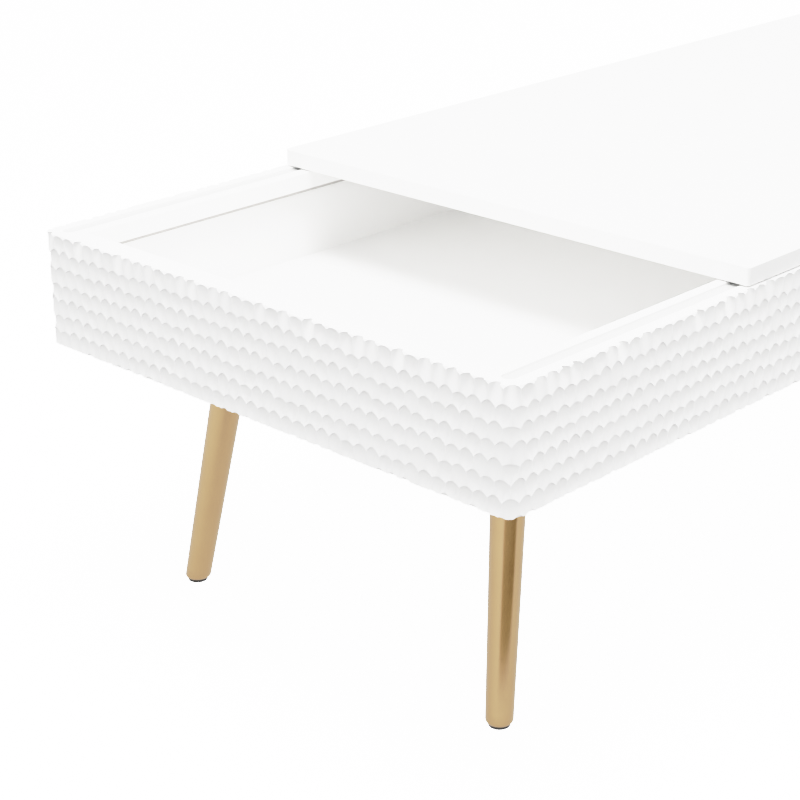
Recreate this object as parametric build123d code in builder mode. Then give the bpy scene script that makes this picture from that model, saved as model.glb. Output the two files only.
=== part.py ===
from build123d import *
import os

os.makedirs("parts", exist_ok=True)

# ---------------------------------------------------------------- driving dimensions, in millimetres
LENGTH = 1200.0  # the carved box, end to end
DEPTH = 610.0  # the carved box, front to back
BOX_BOTTOM = 272.0  # underside of the box above the ground
BOX_TOP = 388.0  # top of the rim
CORNER_RADIUS = 12.0  # upright corners of the carved box

FACING_THICKNESS = 9.0
APRON_THICKNESS = 15.0
PANEL_THICKNESS = 16.0  # storage floor
RAIL_THICKNESS = 22.0
LONG_RAIL_EDGE = 38.0  # outside of the box to the inner edge of a front or back rail
SHORT_RAIL_EDGE = 27.0  # outside of the box to the inner edge of an end rail
RAIL_EASING = 1.5
CORNER_BLOCK = 25.0

GROOVE_WIDTH = 14.0
GROOVE_DEPTH = 2.0
GROOVE_INSET = 19.7  # outside of the box to the groove's centre line
GROOVE_STOP = 11.5  # outside of the box to the groove's rounded end

LID_THICKNESS = 18.0
LID_INSET = 3.0  # the closed lid stands back from the box by this on every side
LID_GAP = 1.2  # daylight between the rim and the lid
LID_TRAVEL = 322.0  # from shut to the stop at the groove's end
LID_CORNER = 3.5
LID_EASING = 1.0

GUIDE_DIAMETER = 13.0
GUIDE_PLAY = 0.5  # guide to the groove's end when the lid is against a stop
GUIDE_LIFT = 0.2  # guide to the groove's floor

LEG_INSET_X = 141.5  # leg's axis at the box's underside, from the end of the box
LEG_INSET_Y = 121.9  # the same, from the long side
LEG_SPLAY_X = 44.2  # how far the leg's axis runs outwards on its way to the ground
LEG_SPLAY_Y = 29.1
LEG_TOP_DIAMETER = 35.0
LEG_FOOT_DIAMETER = 26.5
LEG_TOP_HEIGHT = 265.0  # centre of the leg's top end
LEG_FOOT_ROUND = 3.5

PLATE_SIDE = 72.0
PLATE_THICKNESS = 2.5
PLATE_CORNER = 8.0
PLATE_SCREW_PITCH = 52.0
BOSS_DIAMETER = 22.0

BOLT_DIAMETER = 8.0
BOLT_IN_LEG = 38.0
BOLT_IN_PLATE = 6.0

GLIDE_DIAMETER = 21.0
GLIDE_HEIGHT = 3.5
GLIDE_EASING = 1.0
NAIL_HEAD_DIAMETER = 6.0
NAIL_HEAD_HEIGHT = 1.0
NAIL_DIAMETER = 2.4
NAIL_LENGTH = 18.0

DOWEL_DIAMETER = 6.0
DOWEL_LENGTH = 26.0
DOWEL_IN_RAIL = 12.0
DOWEL_IN_APRON = 9.0  # depth of a corner dowel in the long apron
FIT = 0.1  # radial room round a dowel, bolt, nail or screw

# countersunk wood screws: head diameter, shank diameter, length
PANEL_SCREW = (8.0, 4.0, 40.0)
PLATE_SCREW = (7.6, 4.0, 15.0)
GUIDE_SCREW = (7.0, 3.5, 17.0)

# ---------------------------------------------------------------- places that follow from them
# The origin is on the ground under the middle of the whole table as it stands with its lid open.
BOX_X = -(LID_TRAVEL - LID_INSET) / 2
LID_X = BOX_X + LID_TRAVEL
RAIL_BOTTOM = BOX_TOP - RAIL_THICKNESS
FLOOR_TOP = BOX_BOTTOM + PANEL_THICKNESS
LID_BOTTOM = BOX_TOP + LID_GAP
LID_TOP = LID_BOTTOM + LID_THICKNESS
CORE_X = LENGTH / 2 - FACING_THICKNESS  # outside of the aprons and rails
CORE_Y = DEPTH / 2 - FACING_THICKNESS
WELL_X = CORE_X - APRON_THICKNESS  # inside of the aprons
WELL_Y = CORE_Y - APRON_THICKNESS
GROOVE_Y = DEPTH / 2 - GROOVE_INSET
GROOVE_END_X = LENGTH / 2 - GROOVE_STOP
GUIDE_REACH = GROOVE_END_X - GROOVE_WIDTH / 2 - GUIDE_PLAY

CORNERS = {"front_left": (-1, -1), "front_right": (1, -1), "back_left": (-1, 1), "back_right": (1, 1)}
LONG_SIDES = {"front": -1, "back": 1}
SHORT_SIDES = {"left": -1, "right": 1}
RISING = (Align.CENTER, Align.CENTER, Align.MIN)


def level(height):
    """The level plane at a height, centred on the box."""
    return Plane(origin=(BOX_X, 0, height))


def save(builder, label):
    builder.part.label = label
    export_step(builder.part, f"parts/{label}.step")


def board(x_span, y_span, bottom, top):
    """Adds a plain rectangular board to the part being built."""
    middle = (BOX_X + sum(x_span) / 2, sum(y_span) / 2, bottom)
    with Locations(middle):
        Box(x_span[1] - x_span[0], y_span[1] - y_span[0], top - bottom, align=RISING)


def span(side, inner, outer):
    """The stretch from inner to outer on the negative or the positive side of the middle."""
    return sorted((side * inner, side * outer))


def screws(seats, size, room=0.0, mode=Mode.ADD):
    """Countersunk screws, or with room the holes for them, each driven along its seat's normal."""
    head, shank, length = size
    sink = (head - shank) / 2
    with Locations(*seats):
        Cone(head / 2 + room, shank / 2 + room, sink, align=RISING, mode=mode)
        Cylinder(shank / 2 + room, length + room, align=RISING, mode=mode)


def dowels(seats, room=0.0, mode=Mode.ADD):
    """Dowels, or with room the holes for them, each along its seat's normal."""
    with Locations(*[seat.offset(-room) for seat in seats]):
        Cylinder(DOWEL_DIAMETER / 2 + room, DOWEL_LENGTH + 2 * room, align=RISING, mode=mode)


# ---------------------------------------------------------------- where the fixings go
PANEL_SCREW_Z = BOX_BOTTOM + PANEL_THICKNESS / 2
LONG_SCREW_X = [-480.0, -240.0, 0.0, 240.0, 480.0]
SHORT_SCREW_Y = [-160.0, 160.0]
LONG_DOWEL_X = [-500.0, -250.0, 0.0, 250.0, 500.0]
SHORT_DOWEL_Y = [-200.0, 0.0, 200.0]
CORNER_DOWEL_Z = [305.0, 345.0]

long_screw_seats = {
    name: [
        Plane(origin=(BOX_X + x, side * CORE_Y, PANEL_SCREW_Z), z_dir=(0, -side, 0)) for x in LONG_SCREW_X
    ]
    for name, side in LONG_SIDES.items()
}
short_screw_seats = {
    name: [
        Plane(origin=(BOX_X + side * CORE_X, y, PANEL_SCREW_Z), z_dir=(-side, 0, 0)) for y in SHORT_SCREW_Y
    ]
    for name, side in SHORT_SIDES.items()
}
panel_screw_seats = sum([*long_screw_seats.values(), *short_screw_seats.values()], [])

DOWEL_FOOT = RAIL_BOTTOM + DOWEL_IN_RAIL - DOWEL_LENGTH
long_dowel_seats = {
    name: [
        Plane(origin=(BOX_X + x, side * (CORE_Y - APRON_THICKNESS / 2), DOWEL_FOOT)) for x in LONG_DOWEL_X
    ]
    for name, side in LONG_SIDES.items()
}
short_dowel_seats = {
    name: [
        Plane(origin=(BOX_X + side * (CORE_X - APRON_THICKNESS / 2), y, DOWEL_FOOT)) for y in SHORT_DOWEL_Y
    ]
    for name, side in SHORT_SIDES.items()
}
rail_dowel_seats = sum([*long_dowel_seats.values(), *short_dowel_seats.values()], [])

corner_dowel_seats = [
    Plane(
        origin=(BOX_X + side_x * (CORE_X - APRON_THICKNESS / 2), side_y * (WELL_Y + DOWEL_IN_APRON), z),
        z_dir=(0, -side_y, 0),
    )
    for side_x, side_y in CORNERS.values()
    for z in CORNER_DOWEL_Z
]

# ---------------------------------------------------------------- carved facings
# Four boards mitred at the upright corners, which are rounded across the mitre.
HALF_X = LENGTH / 2
HALF_Y = DEPTH / 2
RIDGE_X = HALF_X - HALF_Y  # where the mitre lines of one end meet
FACING_REGIONS = {
    "front_facing": [(-HALF_X, -HALF_Y), (HALF_X, -HALF_Y), (RIDGE_X, 0), (-RIDGE_X, 0)],
    "back_facing": [(HALF_X, HALF_Y), (-HALF_X, HALF_Y), (-RIDGE_X, 0), (RIDGE_X, 0)],
    "left_facing": [(-HALF_X, HALF_Y), (-HALF_X, -HALF_Y), (-RIDGE_X, 0)],
    "right_facing": [(HALF_X, -HALF_Y), (HALF_X, HALF_Y), (RIDGE_X, 0)],
}
for label, region in FACING_REGIONS.items():
    with BuildPart() as facing:
        with BuildSketch(level(BOX_BOTTOM)):
            RectangleRounded(LENGTH, DEPTH, CORNER_RADIUS)
            Rectangle(2 * CORE_X, 2 * CORE_Y, mode=Mode.SUBTRACT)
            with BuildLine():
                Polyline(*region, close=True)
            make_face(mode=Mode.INTERSECT)
        extrude(amount=BOX_TOP - BOX_BOTTOM)
    save(facing, label)

# ---------------------------------------------------------------- aprons
# The long aprons run through; the short ones stand between them on dowels.
for name, side in LONG_SIDES.items():
    with BuildPart() as apron:
        board((-CORE_X, CORE_X), span(side, WELL_Y, CORE_Y), BOX_BOTTOM, RAIL_BOTTOM)
        screws(long_screw_seats[name], PANEL_SCREW, FIT, Mode.SUBTRACT)
        dowels(long_dowel_seats[name], FIT, Mode.SUBTRACT)
        dowels(corner_dowel_seats, FIT, Mode.SUBTRACT)
    save(apron, f"{name}_apron")

for name, side in SHORT_SIDES.items():
    with BuildPart() as apron:
        board(span(side, WELL_X, CORE_X), (-WELL_Y, WELL_Y), BOX_BOTTOM, RAIL_BOTTOM)
        screws(short_screw_seats[name], PANEL_SCREW, FIT, Mode.SUBTRACT)
        dowels(short_dowel_seats[name], FIT, Mode.SUBTRACT)
        dowels(corner_dowel_seats, FIT, Mode.SUBTRACT)
    save(apron, f"{name}_apron")

# ---------------------------------------------------------------- rails
# The rim that the lid runs on, eased along its inner edges. The long rails are grooved for the
# lid's guides.
LONG_RAIL_Y = DEPTH / 2 - LONG_RAIL_EDGE
SHORT_RAIL_X = LENGTH / 2 - SHORT_RAIL_EDGE
for name, side in LONG_SIDES.items():
    with BuildPart() as rail:
        board((-CORE_X, CORE_X), span(side, LONG_RAIL_Y, CORE_Y), RAIL_BOTTOM, BOX_TOP)
        across_rail = rail.edges().filter_by(Axis.X).group_by(Axis.Y)
        fillet(across_rail[-1] if side < 0 else across_rail[0], RAIL_EASING)
        with BuildSketch(level(BOX_TOP)):
            with Locations((0, side * GROOVE_Y)):
                SlotOverall(2 * GROOVE_END_X, GROOVE_WIDTH)
        extrude(amount=-GROOVE_DEPTH, mode=Mode.SUBTRACT)
        dowels(long_dowel_seats[name], FIT, Mode.SUBTRACT)
    save(rail, f"{name}_rail")

for name, side in SHORT_SIDES.items():
    with BuildPart() as rail:
        board(span(side, SHORT_RAIL_X, CORE_X), (-LONG_RAIL_Y, LONG_RAIL_Y), RAIL_BOTTOM, BOX_TOP)
        across_rail = rail.edges().filter_by(Axis.Y).group_by(Axis.X)
        fillet(across_rail[-1] if side < 0 else across_rail[0], RAIL_EASING)
        dowels(short_dowel_seats[name], FIT, Mode.SUBTRACT)
    save(rail, f"{name}_rail")

with BuildPart() as rail_dowels:
    dowels(rail_dowel_seats)
save(rail_dowels, "rail_dowels")

with BuildPart() as corner_dowels:
    dowels(corner_dowel_seats)
save(corner_dowels, "corner_dowels")

# ---------------------------------------------------------------- glue blocks in the inside corners
for name, (side_x, side_y) in CORNERS.items():
    with BuildPart() as block:
        with BuildSketch(level(FLOOR_TOP)):
            with BuildLine():
                Polyline(
                    (side_x * WELL_X, side_y * WELL_Y),
                    (side_x * (WELL_X - CORNER_BLOCK), side_y * WELL_Y),
                    (side_x * WELL_X, side_y * (WELL_Y - CORNER_BLOCK)),
                    close=True,
                )
            make_face()
        extrude(amount=RAIL_BOTTOM - FLOOR_TOP)
    save(block, f"{name}_block")

# ---------------------------------------------------------------- legs, their plates, bolts and glides
leg_frames = {}
for name, (side_x, side_y) in CORNERS.items():
    hip = Vector(
        BOX_X + side_x * (LENGTH / 2 - LEG_INSET_X), side_y * (DEPTH / 2 - LEG_INSET_Y), BOX_BOTTOM
    )
    toe = Vector(hip.X + side_x * LEG_SPLAY_X, hip.Y + side_y * LEG_SPLAY_Y, 0)
    rise = (hip - toe).normalized()
    top = toe + rise * (LEG_TOP_HEIGHT / rise.Z)
    sole = toe + rise * (GLIDE_HEIGHT / rise.Z)
    leg_frames[name] = {
        "foot": Plane(origin=toe, z_dir=rise),
        "top": Plane(origin=top, z_dir=rise),
        "plate": Plane(origin=(hip.X, hip.Y, BOX_BOTTOM - PLATE_THICKNESS)),
        "glide": Plane(origin=(sole.X, sole.Y, 0)),
        "length": (top - toe).length,
    }


def plate_screw_seats(name):
    plate = leg_frames[name]["plate"]
    reach = PLATE_SCREW_PITCH / 2
    return [
        Plane(origin=plate.origin + Vector(x, y, 0)) for x in (-reach, reach) for y in (-reach, reach)
    ]


all_plate_screw_seats = sum([plate_screw_seats(name) for name in CORNERS], [])

for name, frame in leg_frames.items():
    with BuildPart(frame["foot"]) as leg:
        Cone(LEG_FOOT_DIAMETER / 2, LEG_TOP_DIAMETER / 2, frame["length"], align=RISING)
        split(bisect_by=Plane.XY.offset(GLIDE_HEIGHT), keep=Keep.TOP)
        fillet(leg.edges().group_by(Axis.Z)[0], LEG_FOOT_ROUND)
        with BuildSketch(frame["top"]):
            Circle(BOLT_DIAMETER / 2 + FIT)
        extrude(amount=-BOLT_IN_LEG - FIT, mode=Mode.SUBTRACT)
        with BuildSketch(frame["glide"].offset(GLIDE_HEIGHT)):
            Circle(NAIL_DIAMETER / 2 + FIT)
        extrude(amount=NAIL_LENGTH - GLIDE_HEIGHT + FIT, mode=Mode.SUBTRACT)
    save(leg, f"{name}_leg")

    with BuildPart() as plate:
        with BuildSketch(frame["plate"]):
            RectangleRounded(PLATE_SIDE, PLATE_SIDE, PLATE_CORNER)
        extrude(amount=PLATE_THICKNESS)
        with BuildSketch(frame["top"]):
            Circle(BOSS_DIAMETER / 2)
        extrude(amount=BOSS_DIAMETER / 2)
        split(bisect_by=Plane.XY.offset(BOX_BOTTOM), keep=Keep.BOTTOM)
        with BuildSketch(frame["top"]):
            Circle(BOLT_DIAMETER / 2 + FIT)
        extrude(amount=BOSS_DIAMETER, mode=Mode.SUBTRACT)
        screws(plate_screw_seats(name), PLATE_SCREW, FIT, Mode.SUBTRACT)
    save(plate, f"{name}_leg_plate")

    with BuildPart(frame["top"].offset(-BOLT_IN_LEG)) as bolt:
        Cylinder(BOLT_DIAMETER / 2, BOLT_IN_LEG + BOLT_IN_PLATE, align=RISING)
    save(bolt, f"{name}_leg_bolt")

    with BuildPart(frame["glide"]) as glide:
        Cylinder(GLIDE_DIAMETER / 2, GLIDE_HEIGHT, align=RISING)
        fillet(glide.edges().group_by(Axis.Z)[0], GLIDE_EASING)
        Cylinder(NAIL_HEAD_DIAMETER / 2 + FIT, 2 * NAIL_HEAD_HEIGHT, align=RISING, mode=Mode.SUBTRACT)
        Cylinder(NAIL_DIAMETER / 2 + FIT, GLIDE_HEIGHT, align=RISING, mode=Mode.SUBTRACT)
    save(glide, f"{name}_glide")

with BuildPart() as leg_plate_screws:
    screws(all_plate_screw_seats, PLATE_SCREW)
save(leg_plate_screws, "leg_plate_screws")

with BuildPart() as glide_nails:
    with Locations(*[frame["glide"].offset(NAIL_HEAD_HEIGHT) for frame in leg_frames.values()]):
        Cylinder(NAIL_HEAD_DIAMETER / 2, NAIL_HEAD_HEIGHT, align=RISING)
        Cylinder(NAIL_DIAMETER / 2, NAIL_LENGTH - NAIL_HEAD_HEIGHT, align=RISING)
save(glide_nails, "glide_nails")

# ---------------------------------------------------------------- storage floor
with BuildPart() as bottom_panel:
    board((-WELL_X, WELL_X), (-WELL_Y, WELL_Y), BOX_BOTTOM, FLOOR_TOP)
    screws(panel_screw_seats, PANEL_SCREW, FIT, Mode.SUBTRACT)
    screws(all_plate_screw_seats, PLATE_SCREW, FIT, Mode.SUBTRACT)
save(bottom_panel, "bottom_panel")

with BuildPart() as panel_screws:
    screws(panel_screw_seats, PANEL_SCREW)
save(panel_screws, "panel_screws")

# ---------------------------------------------------------------- lid and its guides
# Open, the right-hand guides stand at the right ends of the grooves. Shut, the left-hand ones
# stand at the left ends.
GUIDE_BOTTOM = BOX_TOP - GROOVE_DEPTH + GUIDE_LIFT
guide_places = {
    name: Plane(
        origin=(
            BOX_X + (GUIDE_REACH if side_x > 0 else LID_TRAVEL - GUIDE_REACH),
            side_y * GROOVE_Y,
            GUIDE_BOTTOM,
        )
    )
    for name, (side_x, side_y) in CORNERS.items()
}
guide_screw_seats = list(guide_places.values())

with BuildPart() as lid_panel:
    with BuildSketch(Plane(origin=(LID_X, 0, LID_BOTTOM))):
        RectangleRounded(LENGTH - 2 * LID_INSET, DEPTH - 2 * LID_INSET, LID_CORNER)
    extrude(amount=LID_THICKNESS)
    rims = lid_panel.edges().group_by(Axis.Z)
    fillet(rims[0] + rims[-1], LID_EASING)
    screws(guide_screw_seats, GUIDE_SCREW, FIT, Mode.SUBTRACT)
save(lid_panel, "lid_panel")

for name, place in guide_places.items():
    with BuildPart(place) as guide:
        Cylinder(GUIDE_DIAMETER / 2, LID_BOTTOM - GUIDE_BOTTOM, align=RISING)
        fillet(guide.edges().group_by(Axis.Z)[0], LID_EASING)
        screws([Location()], GUIDE_SCREW, FIT, Mode.SUBTRACT)
    save(guide, f"{name}_lid_guide")

with BuildPart() as lid_guide_screws:
    screws(guide_screw_seats, GUIDE_SCREW)
save(lid_guide_screws, "lid_guide_screws")
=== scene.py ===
import math

import bmesh
import bpy
from mathutils import Matrix, Vector, noise


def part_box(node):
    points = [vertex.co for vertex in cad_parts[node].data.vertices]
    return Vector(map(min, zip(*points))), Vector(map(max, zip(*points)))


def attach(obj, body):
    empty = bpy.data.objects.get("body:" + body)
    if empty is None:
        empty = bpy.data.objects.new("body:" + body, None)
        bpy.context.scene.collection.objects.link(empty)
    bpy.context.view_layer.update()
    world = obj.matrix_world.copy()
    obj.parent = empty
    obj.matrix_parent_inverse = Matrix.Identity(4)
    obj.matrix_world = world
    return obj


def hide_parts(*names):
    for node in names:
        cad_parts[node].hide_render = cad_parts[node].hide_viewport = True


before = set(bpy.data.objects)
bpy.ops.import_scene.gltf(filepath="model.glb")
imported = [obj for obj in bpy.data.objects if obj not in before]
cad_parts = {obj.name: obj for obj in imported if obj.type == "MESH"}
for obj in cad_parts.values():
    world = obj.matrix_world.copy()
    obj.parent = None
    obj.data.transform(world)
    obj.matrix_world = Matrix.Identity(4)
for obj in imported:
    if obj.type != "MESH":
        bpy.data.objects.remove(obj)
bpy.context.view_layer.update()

# ---------------------------------------------------------------- boards of the box
# The aprons, the storage floor, the glue blocks in the corners and the rails are plain boards
# of medium density fibreboard. They are glued and dowelled, then sprayed with satin white
# lacquer as one carcass, so the finish runs on from board to board.
MM = 0.001
TONE_DRIFT = 220 * MM
GLOSS_DRIFT = 90 * MM
PEEL = 2.2 * MM
PEEL_HEIGHT = 0.03 * MM
SIDES = ["front", "right", "back", "left"]
CORNERS = ["front_left", "front_right", "back_left", "back_right"]


class Wire:
    """A value in a material. A sum written with it adds the Math nodes that work it out."""

    def __init__(self, finish, socket):
        self.finish = finish
        self.socket = socket

    def maths(self, operation, first, second):
        return self.finish.node("Math", {"operation": operation}, {0: first, 1: second})

    def __add__(self, other):
        return self.maths("ADD", self, other)

    def __radd__(self, other):
        return self.maths("ADD", other, self)

    def __sub__(self, other):
        return self.maths("SUBTRACT", self, other)

    def __rsub__(self, other):
        return self.maths("SUBTRACT", other, self)

    def __mul__(self, other):
        return self.maths("MULTIPLY", self, other)

    def __rmul__(self, other):
        return self.maths("MULTIPLY", other, self)

    def __pow__(self, other):
        return self.maths("POWER", self, other)


class Finish:
    """A procedural material. Numbers that are the same all over are set on the shader itself."""

    def __init__(self, name, **same_all_over):
        self.material = bpy.data.materials.new(name)
        self.material.use_nodes = True
        self.tree = self.material.node_tree
        self.shader = self.tree.nodes["Principled BSDF"]
        for socket, value in same_all_over.items():
            self.shader.inputs[socket.replace("_", " ")].default_value = value

    def node(self, kind, settings=None, sockets=None, output=0):
        """Adds a node: first its settings, then the values or links of its sockets."""
        made = self.tree.nodes.new("ShaderNode" + kind)
        for setting, value in (settings or {}).items():
            setattr(made, setting, value)
        for socket, value in (sockets or {}).items():
            self.join(value, made.inputs[socket])
        return Wire(self, made.outputs[output])

    def join(self, value, socket):
        if isinstance(value, Wire):
            self.tree.links.new(value.socket, socket)
        else:
            socket.default_value = value

    def place(self, stretch=(1, 1, 1)):
        """Object coordinates in metres, scaled by stretch."""
        where = self.node("TexCoord", output="Object")
        return self.node("VectorMath", {"operation": "MULTIPLY"}, {0: where, 1: stretch})

    def cloud(self, size, detail=2.0, stretch=(1, 1, 1)):
        """Soft noise from 0 to 1 whose blotches are about size metres across."""
        where = self.place(stretch)
        sockets = {"Vector": where, "Scale": 1 / size, "Detail": detail}
        return self.node("TexNoise", {}, sockets, output="Fac")

    def blend(self, share, first, second):
        """A colour between two others."""
        settings = {"data_type": "RGBA"}
        sockets = {0: share, 6: first, 7: second}
        return self.node("Mix", settings, sockets, output=2)

    def height(self, value, reach, strength=1.0):
        """Bumps up to reach metres high, fed to the shader's normal."""
        sockets = {"Height": value, "Distance": reach, "Strength": strength}
        self.feed(Normal=self.node("Bump", {}, sockets))

    def feed(self, **varying):
        for socket, value in varying.items():
            self.join(value, self.shader.inputs[socket.replace("_", " ")])


def dress(name, finish):
    """Gives a CAD node a finish in all its material slots."""
    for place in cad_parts[name].material_slots:
        place.material = finish.material


# The second white is slightly duller. It is thinner lacquer where the tone drifts at random, and on the
# carved facings it is painted shade in the scoops' hollows.
WHITE = (0.905, 0.903, 0.895, 1)
WHITE_THIN_AND_SHADE = (0.89, 0.885, 0.873, 1)

white_lacquer = Finish("white_lacquer", Specular_IOR_Level=0.5)
white_lacquer.feed(
    Base_Color=white_lacquer.blend(white_lacquer.cloud(TONE_DRIFT), WHITE_THIN_AND_SHADE, WHITE),
    Roughness=0.30 + 0.10 * white_lacquer.cloud(GLOSS_DRIFT),
)
white_lacquer.height(white_lacquer.cloud(PEEL), PEEL_HEIGHT)

for side in SIDES:
    dress(f"{side}_apron", white_lacquer)
for corner in CORNERS:
    dress(f"{corner}_block", white_lacquer)
dress("bottom_panel", white_lacquer)

# ---------------------------------------------------------------- rails
# Four fibreboard rails make the rim, the long two grooved for the lid. They are lacquered on top
# and on their inner edges. A thin dark band along the bottom is painted shadow under the rails'
# lower edges, and the grey floors of the grooves are painted shade inside the grooves.
SHADOW_LINE_HEIGHT = 3.0 * MM
LINE_BLUR = 0.4 * MM
PAINTED_SHADOW = (0.27, 0.260, 0.246, 1)
PAINTED_SHADOW_FLECK = (0.33, 0.318, 0.302, 1)
GROOVE_SHADE = (0.40, 0.40, 0.395, 1)
GROOVE_SHADE_LIGHT = (0.48, 0.48, 0.47, 1)
GROOVE_BAND = 1.0 * MM
LEVEL_ENOUGH = 0.5
LEVEL_BLUR = 0.3

rail_low, rail_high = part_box("back_rail")
rail_lacquer = Finish("rail_lacquer", Specular_IOR_Level=0.5)


def risen(bottom, blur, value):
    """0 below bottom, 1 above bottom plus blur, smoothly between them."""
    span = {"Value": value, "From Min": bottom, "From Max": bottom + blur}
    return rail_lacquer.node("MapRange", {"interpolation_type": "SMOOTHSTEP"}, span)


height = rail_lacquer.node("SeparateXYZ", {}, {0: rail_lacquer.place()}, output="Z")
outwards = rail_lacquer.node("NewGeometry", output="Normal")
upwards = rail_lacquer.node("SeparateXYZ", {}, {0: outwards}, output="Z")
facing_up = risen(LEVEL_ENOUGH, LEVEL_BLUR, upwards)
# Painted shadow: the bottom band of each rail is coloured dark grey, standing in for the shade under the
# rail's lower edge.
above_shadow_line = risen(rail_low.z + SHADOW_LINE_HEIGHT, LINE_BLUR, height)
# Painted shade: upward faces lying below the rail's top, which are the groove floors, are coloured grey,
# standing in for the shade inside the grooves.
groove_floor_shade = facing_up * (1 - risen(rail_high.z - GROOVE_BAND, LINE_BLUR, height))
white = rail_lacquer.blend(rail_lacquer.cloud(TONE_DRIFT), WHITE_THIN_AND_SHADE, WHITE)
groove_shade_colour = rail_lacquer.blend(rail_lacquer.cloud(0.004, stretch=(0.05, 1, 1)), GROOVE_SHADE, GROOVE_SHADE_LIGHT)
shadow_line_colour = rail_lacquer.blend(rail_lacquer.cloud(0.0008), PAINTED_SHADOW, PAINTED_SHADOW_FLECK)
rail_lacquer.feed(
    Base_Color=rail_lacquer.blend(above_shadow_line, shadow_line_colour, rail_lacquer.blend(groove_floor_shade, white, groove_shade_colour)),
    Roughness=0.8 - above_shadow_line * (0.5 - 0.10 * rail_lacquer.cloud(GLOSS_DRIFT)),
)
rail_lacquer.height(rail_lacquer.cloud(PEEL), PEEL_HEIGHT)
for side in SIDES:
    dress(f"{side}_rail", rail_lacquer)

# ---------------------------------------------------------------- carved facings
# Four boards carved with seven rows of scoops, each row half a scoop on from the row above. A
# scoop is cut deepest under its arch and runs out to the face above the next row's arches.
# The boards are mitred at the rounded corners, glued on and lacquered with the carcass.
SCOOP_ROWS = 7
ROW_HEIGHT = 16.4 * MM
RIM_CUT = 1.7 * MM
RIM_FLATTER = 0.75
LAST_SHALLOWER = 0.5
LIP_SLOPE = 0.45
ARCH_RISE = 5.5 * MM
SCOOP_DEPTH = 4.4 * MM
RIDGE_DEPTH = 0.25 * MM
WALL_DROP = 0.9 * MM
RUN_OUT = 1.4
ARCH_WHIM = 0.16
TIP_WHIM = 0.08
ARCH_LIMIT = 0.1
DEPTH_WHIM = 0.18
CORNER_RADIUS = 12 * MM
SCOOPS_ALONG = {"front": 78, "right": 39.5, "back": 78, "left": 39.5}
SCOOPS_ROUND = 235
COLUMNS = 10
STEPS = 5
RIM_LINES = 2
SILL_LINES = 2

facing_low = Vector(map(min, *[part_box(f"{side}_facing")[0] for side in SIDES]))
facing_high = Vector(map(max, *[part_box(f"{side}_facing")[1] for side in SIDES]))
box_middle = (facing_low + facing_high) / 2
facing_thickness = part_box("front_apron")[0].y - facing_low.y
rim_top = facing_high.z
box_bottom = facing_low.z
QUARTER = math.pi / 2


def whim(row, scoop, kind):
    """How far the hand strayed at one scoop, from -1 to 1."""
    return 2 * noise.cell(Vector((scoop % SCOOPS_ROUND + 0.5, row + 0.5, kind + 0.5))) - 1


def arch_line(row, along):
    """The arches at the top of a row: their height, the wall's foot below them, and its depth."""
    along += 0 if row % 2 else 0.5
    scoop = math.floor(along)
    share = along - scoop
    crown = 4 * share * (1 - share)
    tip = (1 - share) * whim(row, scoop, 0) + share * whim(row, scoop + 1, 0)
    rise = min(crown * (1 + ARCH_WHIM * whim(row, scoop, 1)) - 1 + TIP_WHIM * tip, ARCH_LIMIT)
    rise *= ARCH_RISE if row else ARCH_RISE * RIM_FLATTER
    arch = rim_top + RIM_CUT - row * ROW_HEIGHT + rise
    hollow = RIDGE_DEPTH + SCOOP_DEPTH * crown * (1 + DEPTH_WHIM * whim(row, scoop, 2))
    return arch, arch - WALL_DROP * hollow / SCOOP_DEPTH, hollow


def carved(line, along):
    """Height and depth of the carved face on one of the grid's lines, counted from the top."""
    if line < RIM_LINES:
        arch, foot, hollow = arch_line(0, along)
        if arch > rim_top:
            return rim_top, hollow * min((arch - rim_top) / (arch - foot), 1)
        return (arch, 0) if line else (rim_top, LIP_SLOPE * (rim_top - arch))
    row, step = divmod(line - RIM_LINES, STEPS + 1)
    arch, foot, hollow = arch_line(row, along)
    if row == SCOOP_ROWS:
        if arch < box_bottom:
            return carved(line - step - 1, along)
        low_foot = max(foot, box_bottom)
        depth = LAST_SHALLOWER * hollow * (arch - low_foot) / (arch - foot)
        return (box_bottom if step else low_foot), depth
    top = min(foot, rim_top)
    length = top - arch_line(row + 1, along)[0]
    share = min(step / STEPS, (top - box_bottom) / length)
    return top - length * share, hollow * (1 - share**RUN_OUT)


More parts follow.
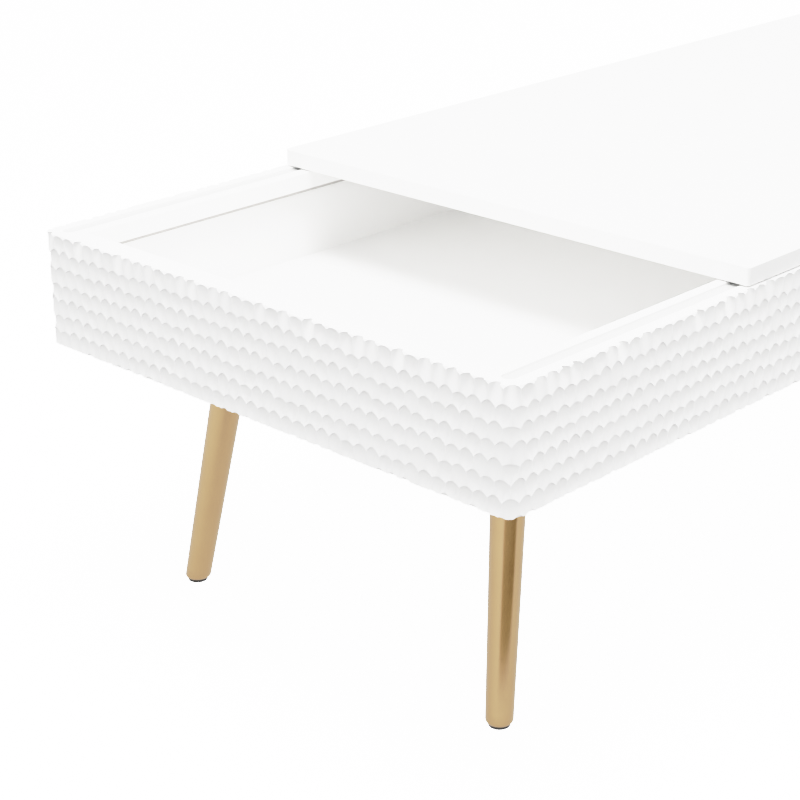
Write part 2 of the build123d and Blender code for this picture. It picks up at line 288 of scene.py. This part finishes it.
def carved_board(side, turn, half_length, half_width, first_scoop):
    """One facing: a grid bent round the box, carved, and closed at its back."""
    bend = CORNER_RADIUS * QUARTER / 2
    straight = 2 * (half_length - CORNER_RADIUS)
    girth = straight + 2 * bend
    columns = round(SCOOPS_ALONG[side] * COLUMNS)
    lines = RIM_LINES + SCOOP_ROWS * (STEPS + 1) + SILL_LINES - 1
    shape = bmesh.new()
    bmesh.ops.create_grid(shape, x_segments=columns, y_segments=lines, size=1)
    relief = shape.verts.layers.float.new("relief")
    edge = half_width - facing_thickness
    end = half_length - facing_thickness
    for vertex in shape.verts:
        reach = (vertex.co.x + 1) / 2
        line = round((1 - vertex.co.y) / 2 * lines)
        height, depth = carved(line, first_scoop + reach * SCOOPS_ALONG[side])
        vertex[relief] = depth / SCOOP_DEPTH
        run = reach * girth - bend
        on_flat = min(max(run, 0), straight)
        lean = (run - on_flat) / CORNER_RADIUS
        radius = CORNER_RADIUS - depth
        vertex.co = (
            on_flat - straight / 2 + math.sin(lean) * radius,
            -half_width + CORNER_RADIUS - math.cos(lean) * radius,
            height,
        )
    border = [joint for joint in shape.edges if joint.is_boundary]
    walls = bmesh.ops.extrude_edge_only(shape, edges=border)["geom"]
    for vertex in walls:
        if isinstance(vertex, bmesh.types.BMVert):
            vertex.co.x = min(max(vertex.co.x, -end), end)
            vertex.co.y = -edge
            vertex[relief] = 0
    bmesh.ops.remove_doubles(shape, verts=shape.verts, dist=MM / 100)
    bmesh.ops.holes_fill(shape, edges=[joint for joint in shape.edges if joint.is_boundary], sides=0)
    bmesh.ops.recalc_face_normals(shape, faces=shape.faces)
    bmesh.ops.transform(shape, matrix=Matrix.Rotation(turn, 4, "Z"), verts=shape.verts)
    bmesh.ops.translate(shape, vec=(box_middle.x, box_middle.y, 0), verts=shape.verts)
    return shape


def finished_piece(name, shape, finish, crease=0.6):
    """Turns a bmesh into a named piece, smooth where its faces meet at less than crease radians."""
    for face in shape.faces:
        face.smooth = True
    for joint in shape.edges:
        joint.smooth = joint.calc_face_angle(0) < crease
    mesh = bpy.data.meshes.new(name)
    shape.to_mesh(mesh)
    shape.free()
    mesh.materials.append(finish.material)
    piece = bpy.data.objects.new(name, mesh)
    bpy.context.scene.collection.objects.link(piece)
    return piece


carved_lacquer = Finish("carved_lacquer", Specular_IOR_Level=0.5)
hollow = carved_lacquer.node("Attribute", {"attribute_name": "relief"}, output="Fac")
carved_lacquer.feed(
    # Painted shade: the colour darkens with the depth of the scoop, standing in for shade in the hollows.
    Base_Color=carved_lacquer.blend(hollow, WHITE, WHITE_THIN_AND_SHADE),
    Roughness=0.30 + 0.10 * carved_lacquer.cloud(0.02) + 0.08 * hollow,
)
carved_lacquer.height(carved_lacquer.cloud(PEEL), PEEL_HEIGHT)

half_x = (facing_high.x - facing_low.x) / 2
half_y = (facing_high.y - facing_low.y) / 2
first_scoop = 0
for number, side in enumerate(SIDES):
    spans = (half_x, half_y) if side in ("front", "back") else (half_y, half_x)
    board = carved_board(side, number * QUARTER, *spans, first_scoop)
    piece = finished_piece(f"{side}_carved_facing", board, carved_lacquer)
    first_scoop += SCOOPS_ALONG[side]
    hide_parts(f"{side}_facing")
    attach(piece, "carcass")

# ---------------------------------------------------------------- lid
# One fibreboard panel, its corners rounded and its edges eased, sprayed all over with the same
# satin white lacquer as the box. It is polished a little smoother on top than the box is.
LID_PEEL = 2.6 * MM
LID_PEEL_HEIGHT = 0.02 * MM

lid_lacquer = Finish("lid_lacquer", Specular_IOR_Level=0.5)
lid_lacquer.feed(
    Base_Color=lid_lacquer.blend(lid_lacquer.cloud(0.3), WHITE_THIN_AND_SHADE, WHITE),
    Roughness=0.25 + 0.08 * lid_lacquer.cloud(0.11),
)
lid_lacquer.height(lid_lacquer.cloud(LID_PEEL), LID_PEEL_HEIGHT)
dress("lid_panel", lid_lacquer)

# ---------------------------------------------------------------- lid guides
# Four buttons of natural nylon, turned from rod, each held under the lid by one countersunk
# steel screw. They run in the grooves of the long rails and wear to a dull polish.
NYLON = (0.80, 0.79, 0.75, 1)
NYLON_WORN = (0.70, 0.69, 0.66, 1)

nylon = Finish("white_nylon", Subsurface_Weight=0.1, Subsurface_Scale=0.001)
nylon.feed(
    Base_Color=nylon.blend(nylon.cloud(0.004), NYLON_WORN, NYLON),
    Roughness=0.35 + 0.2 * nylon.cloud(0.002),
)
nylon.height(nylon.cloud(0.0006, stretch=(1, 1, 6)), 0.00002)
for corner in CORNERS:
    dress(f"{corner}_lid_guide", nylon)

# ---------------------------------------------------------------- legs
# Four round tapered legs turned from hardwood, lacquered satin gold under a clear coat. Each
# is splayed, hangs on a bolt from its plate, and has its foot cut level and rounded.
LEG_TOP_RADIUS = 17.5 * MM
LEG_FOOT_RADIUS = 13.25 * MM
LEG_TOP_HEIGHT = 265 * MM
LEG_FOOT_ROUND = 3.5 * MM
LEG_EASING = 0.6 * MM
LEG_FACETS = 96
LEG_BANDS = 20
LEG_FIRST_BAND = 14 * MM
GOLD = (0.66, 0.39, 0.13, 1)
GOLD_THIN = (0.60, 0.34, 0.105, 1)

gold_lacquer = Finish("gold_lacquer", Metallic=1.0, Coat_Weight=1.0, Coat_Roughness=0.20, Coat_IOR=2.0)
turning = gold_lacquer.cloud(0.0012, stretch=(0.15, 0.15, 1))
gold_lacquer.feed(
    Base_Color=gold_lacquer.blend(gold_lacquer.cloud(0.03), GOLD_THIN, GOLD),
    Roughness=0.25 + 0.06 * gold_lacquer.cloud(0.012) + 0.04 * turning,
)
gold_lacquer.height(turning, 0.000015)


def joined(shape, more):
    """Adds a second bmesh to the first."""
    spare = bpy.data.meshes.new("spare")
    more.to_mesh(spare)
    more.free()
    shape.from_mesh(spare)
    bpy.data.meshes.remove(spare)


def turned(outline, facets):
    """A closed shape turned round the Z axis from an outline of (radius, height), bottom first."""
    shape = bmesh.new()
    points = [shape.verts.new((radius, 0, height)) for radius, height in outline]
    line = [shape.edges.new(pair) for pair in zip(points, points[1:])]
    bmesh.ops.spin(
        shape, geom=points + line, axis=(0, 0, 1), angle=2 * math.pi, steps=facets, use_merge=True
    )
    bmesh.ops.remove_doubles(shape, verts=shape.verts, dist=MM / 1000)
    bmesh.ops.holes_fill(shape, edges=[joint for joint in shape.edges if joint.is_boundary], sides=0)
    bmesh.ops.recalc_face_normals(shape, faces=shape.faces)
    return shape


def leg(corner):
    """One leg along its bolt: the bolt's box gives the splay and the glide's box the foot."""
    foot_low, foot_high = [Vector(place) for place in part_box(f"{corner}_glide")]
    bolt_low, bolt_high = [Vector(place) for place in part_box(f"{corner}_leg_bolt")]
    sole = (foot_low + foot_high) / 2
    sole.z = foot_high.z
    rise = ((bolt_low + bolt_high) / 2 - sole).normalized()
    toe = sole - rise * (sole.z / rise.z)
    length = LEG_TOP_HEIGHT / rise.z
    step = (length - LEG_EASING - LEG_FIRST_BAND) / LEG_BANDS
    heights = [-LEG_FOOT_RADIUS / 2] + [LEG_FIRST_BAND + step * band for band in range(LEG_BANDS + 1)]
    taper = (LEG_TOP_RADIUS - LEG_FOOT_RADIUS) / length
    outline = [(0, heights[0])]
    outline += [(LEG_FOOT_RADIUS + taper * height, height) for height in heights]
    outline += [(LEG_TOP_RADIUS - LEG_EASING, length), (0, length)]
    shape = turned(outline, LEG_FACETS)
    turn = rise.to_track_quat("Z", "Y").to_matrix().to_4x4()
    bmesh.ops.transform(shape, matrix=Matrix.Translation(toe) @ turn, verts=shape.verts)
    everything = shape.verts[:] + shape.edges[:] + shape.faces[:]
    bmesh.ops.bisect_plane(
        shape, geom=everything, plane_co=sole, plane_no=(0, 0, -1), clear_outer=True, dist=MM / 1000
    )
    sole_edges = [joint for joint in shape.edges if joint.is_boundary]
    bmesh.ops.holes_fill(shape, edges=sole_edges, sides=0)
    bmesh.ops.bevel(
        shape, geom=sole_edges, offset=LEG_FOOT_ROUND, segments=6, profile=0.5,
        affect="EDGES", material=-1, clamp_overlap=True,
    )
    bmesh.ops.recalc_face_normals(shape, faces=shape.faces)
    return shape


for corner in CORNERS:
    piece = finished_piece(f"{corner}_gold_leg", leg(corner), gold_lacquer)
    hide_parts(f"{corner}_leg")
    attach(piece, "carcass")

# ---------------------------------------------------------------- glides
# A disc of black moulded polyethylene under each foot, with a steel nail sunk in its middle.
# The moulding is slightly grained, and scuffed where it stands on the ground.
BLACK = (0.014, 0.011, 0.009, 1)
BLACK_SCUFFED = (0.035, 0.029, 0.025, 1)

black_plastic = Finish("black_plastic")
black_plastic.feed(
    Base_Color=black_plastic.blend(black_plastic.cloud(0.005) ** 2, BLACK, BLACK_SCUFFED),
    Roughness=0.42 + 0.15 * black_plastic.cloud(0.002),
)
black_plastic.height(black_plastic.cloud(0.0005), 0.00003)
for corner in CORNERS:
    dress(f"{corner}_glide", black_plastic)

# ---------------------------------------------------------------- leg plates, bolts and nails
# Pressed steel plates with a threaded boss set at the splay of the leg, and the hanger bolts
# that join them, are zinc plated. The plating is spangled and a little cloudy.
ZINC = (0.60, 0.61, 0.62, 1)
ZINC_DULL = (0.46, 0.47, 0.49, 1)

zinc = Finish("zinc_steel", Metallic=1.0)
zinc.feed(
    Base_Color=zinc.blend(zinc.cloud(0.006), ZINC_DULL, ZINC),
    Roughness=0.30 + 0.25 * zinc.cloud(0.003),
)
zinc.height(zinc.cloud(0.0012), 0.00002)
for corner in CORNERS:
    dress(f"{corner}_leg_plate", zinc)
    dress(f"{corner}_leg_bolt", zinc)
for name in ("glide_nails", "panel_screws", "lid_guide_screws"):
    dress(name, zinc)

# ---------------------------------------------------------------- leg plate screws
# Sixteen countersunk steel wood screws, four to a plate, driven up into the storage floor.
# Each has a cross recess in its head, which shows when the table is turned over.
SCREW_HEAD_RADIUS = 3.8 * MM
SCREW_SHANK_RADIUS = 2 * MM
SCREW_LENGTH = 16 * MM
RECESS_ARM = 2.3 * MM
RECESS_HALF_WIDTH = 0.5 * MM
RECESS_DEPTH = 1.3 * MM
SCREW_FACETS = 12
SCREW_INSET = 10 * MM
TOUCH = MM / 100


def cross_screw(place):
    """One screw standing on its head at place. Its recess is a cross sunk into the head."""
    sink = SCREW_HEAD_RADIUS - SCREW_SHANK_RADIUS
    outline = [
        (0, 0),
        (RECESS_ARM, 0),
        (SCREW_HEAD_RADIUS, 0),
        (SCREW_SHANK_RADIUS, sink),
        (SCREW_SHANK_RADIUS, SCREW_LENGTH - sink),
        (0, SCREW_LENGTH),
    ]
    shape = turned(outline, SCREW_FACETS)
    for vertex in shape.verts:
        if vertex.co.z < TOUCH and TOUCH < vertex.co.xy.length < RECESS_ARM + TOUCH:
            turn = math.atan2(vertex.co.y, vertex.co.x) / math.tau
            spoke = round(turn * SCREW_FACETS) % SCREW_FACETS
            quarter = Matrix.Rotation(spoke // 3 * QUARTER, 2)
            corner = [
                (RECESS_ARM, -RECESS_HALF_WIDTH),
                (RECESS_ARM, RECESS_HALF_WIDTH),
                (RECESS_HALF_WIDTH, RECESS_HALF_WIDTH),
            ][spoke % 3]
            vertex.co.xy = quarter @ Vector(corner)
    cross = [face for face in shape.faces if face.calc_center_median().xy.length < RECESS_ARM * 0.8]
    cross = [face for face in cross if face.calc_center_median().z < TOUCH]
    sunk = bmesh.ops.extrude_face_region(shape, geom=cross)["geom"]
    sunk = [vertex for vertex in sunk if isinstance(vertex, bmesh.types.BMVert)]
    bmesh.ops.delete(shape, geom=cross, context="FACES")
    bmesh.ops.translate(shape, vec=(0, 0, RECESS_DEPTH), verts=sunk)
    bmesh.ops.recalc_face_normals(shape, faces=shape.faces)
    bmesh.ops.translate(shape, vec=place, verts=shape.verts)
    return shape


screws = bmesh.new()
for corner in CORNERS:
    plate_low, plate_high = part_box(f"{corner}_leg_plate")
    for x in (plate_low.x + SCREW_INSET, plate_high.x - SCREW_INSET):
        for y in (plate_low.y + SCREW_INSET, plate_high.y - SCREW_INSET):
            joined(screws, cross_screw((x, y, plate_low.z)))
piece = finished_piece("leg_plate_cross_screws", screws, zinc)
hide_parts("leg_plate_screws")
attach(piece, "carcass")

# ---------------------------------------------------------------- dowels
# Plain beech dowels, glued, join the rails to the aprons and the aprons to each other. The
# wood is left bare, with short dark flecks along its grain.
BEECH = (0.66, 0.43, 0.25, 1)
BEECH_FLECK = (0.46, 0.26, 0.13, 1)

for name, grain in (("rail_dowels", (1, 1, 0.15)), ("corner_dowels", (1, 0.15, 1))):
    beech = Finish(f"beech_{name}")
    flecks = beech.cloud(0.0012, stretch=grain) ** 3
    beech.feed(
        Base_Color=beech.blend(2 * flecks + 0.3 * beech.cloud(0.004, stretch=grain), BEECH, BEECH_FLECK),
        Roughness=0.6 + 0.2 * flecks,
    )
    beech.height(flecks, 0.00005)
    dress(name, beech)

# ---------------------------------------------------------------- floor, light and camera
# A plain white floor, a pale studio that is brighter above than below, a wide soft lamp over
# the open end, a weak one inside the box under the lid, and a dark card that the gold reflects.
FLOOR_HALF = 60
FLOOR_GREY = (0.5, 0.5, 0.5, 1)
FLOOR_GREY_LIGHT = (0.52, 0.52, 0.52, 1)
PURE_WHITE = (1, 1, 1, 1)

floor_shape = bmesh.new()
bmesh.ops.create_grid(floor_shape, x_segments=1, y_segments=1, size=FLOOR_HALF)
floor_finish = Finish(
    "studio_floor", Specular_IOR_Level=0.0, Roughness=0.9, Emission_Color=PURE_WHITE, Emission_Strength=3.0
)
floor_finish.feed(Base_Color=floor_finish.blend(floor_finish.cloud(1), FLOOR_GREY, FLOOR_GREY_LIGHT))
floor = finished_piece("studio_floor", floor_shape, floor_finish)
floor.visible_diffuse = False
floor.visible_glossy = False

SKY = 0.72
BOUNCE = 0.30
HORIZON_BLUR = 0.3

world = bpy.data.worlds.new("studio")
bpy.context.scene.world = world
world.use_nodes = True
tree = world.node_tree
direction = tree.nodes.new("ShaderNodeTexCoord")
skywards = tree.nodes.new("ShaderNodeSeparateXYZ")
dome = tree.nodes.new("ShaderNodeMapRange")
dome.inputs["From Min"].default_value = -HORIZON_BLUR
dome.inputs["From Max"].default_value = HORIZON_BLUR
dome.inputs["To Min"].default_value = BOUNCE
dome.inputs["To Max"].default_value = SKY
tree.links.new(direction.outputs["Generated"], skywards.inputs[0])
tree.links.new(skywards.outputs["Z"], dome.inputs["Value"])
tree.links.new(dome.outputs["Result"], tree.nodes["Background"].inputs["Strength"])
tree.nodes["Background"].inputs["Color"].default_value = PURE_WHITE


KEY_FROM_RIM = Vector((-0.45, -0.20, 2.0))
KEY_AIM = Vector((-0.3, 0, 0))
KEY_SIZE = (1.2, 1.2)
KEY_WATTS = 50
UNDER_LID_X = 0.02
UNDER_LID_DROP = 4 * MM
UNDER_LID_SIZE = (0.76, 0.5)
UNDER_LID_WATTS = 0.24
UNDER_LID_COLOUR = (1.0, 0.99, 0.965)


def soft_lamp(name, place, target, size, watts):
    """A rectangular studio lamp at place, turned to target."""
    lamp = bpy.data.objects.new(name, bpy.data.lights.new(name, "AREA"))
    lamp.data.shape = "RECTANGLE"
    lamp.data.size, lamp.data.size_y = size
    lamp.data.energy = watts
    lamp.location = place
    lamp.rotation_mode = "QUATERNION"
    lamp.rotation_quaternion = (Vector(target) - Vector(place)).to_track_quat("-Z", "Y")
    bpy.context.scene.collection.objects.link(lamp)
    return lamp


middle = Vector((box_middle.x, box_middle.y, rim_top))
soft_lamp("key_lamp", middle + KEY_FROM_RIM, middle + KEY_AIM, KEY_SIZE, KEY_WATTS)
under_lid = Vector((UNDER_LID_X, 0, rim_top - UNDER_LID_DROP))
below = under_lid - Vector((0, 0, 1))
box_lamp = soft_lamp("box_lamp", under_lid, below, UNDER_LID_SIZE, UNDER_LID_WATTS)
box_lamp.data.color = UNDER_LID_COLOUR
box_lamp.visible_camera = False
box_lamp.visible_glossy = False

CARD_NEAR = 0.38
CARD_FAR = 8
CARD_TURN = math.radians(-118)
CARD_SPREAD = math.radians(40)
CARD_LIFT = 2 * MM
CARD_BROWN = (0.020, 0.010, 0.002, 1)
CARD_BROWN_LIGHT = (0.028, 0.015, 0.003, 1)

card_corner = Vector(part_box("front_left_glide")[0])
card_shape = bmesh.new()
bmesh.ops.create_grid(card_shape, x_segments=1, y_segments=1, size=1)
for vertex in card_shape.verts:
    reach = CARD_NEAR + (CARD_FAR - CARD_NEAR) * (vertex.co.x + 1) / 2
    swing = CARD_TURN + CARD_SPREAD * vertex.co.y
    vertex.co = card_corner + Vector((reach * math.cos(swing), reach * math.sin(swing), CARD_LIFT))
card_finish = Finish("studio_card", Specular_IOR_Level=0.0, Roughness=0.9)
card_finish.feed(Base_Color=card_finish.blend(card_finish.cloud(0.1), CARD_BROWN, CARD_BROWN_LIGHT))
card = finished_piece("studio_card", card_shape, card_finish)
card.visible_camera = False
card.visible_diffuse = False
card.visible_shadow = False

BRIGHTEST = 4.0
TONES = ((0.1, 0.294), (0.25, 0.608), (0.5, 0.85), (1.0, 0.95), (2.0, 0.965))

view = bpy.context.scene.view_settings
view.view_transform = "Standard"
view.use_curve_mapping = True
view.curve_mapping.use_clip = False
tone = view.curve_mapping.curves[3]
tone.points[1].location = (BRIGHTEST, 1.0)
for seen, shown in TONES:
    tone.points.new(seen, shown)
view.curve_mapping.update()

YAW = math.radians(46.01)
PITCH = math.radians(22.32)
ROLL = math.radians(-0.40)
CAMERA_PLACE = (-1.8327, -1.2182, 0.9567)
LENS = 87.4
SENSOR_WIDTH = 36

camera = bpy.data.objects.new("camera", bpy.data.cameras.new("camera"))
camera.data.lens = LENS
camera.data.sensor_width = SENSOR_WIDTH
ahead = Vector((math.sin(YAW) * math.cos(PITCH), math.cos(YAW) * math.cos(PITCH), -math.sin(PITCH)))
across = Vector((math.cos(YAW), -math.sin(YAW), 0))
up = across.cross(ahead)
right = math.cos(ROLL) * across + math.sin(ROLL) * up
above = math.cos(ROLL) * up - math.sin(ROLL) * across
turn = Matrix((right, above, -ahead)).transposed().to_4x4()
camera.matrix_world = Matrix.Translation(CAMERA_PLACE) @ turn
bpy.context.scene.collection.objects.link(camera)
bpy.context.scene.camera = camera
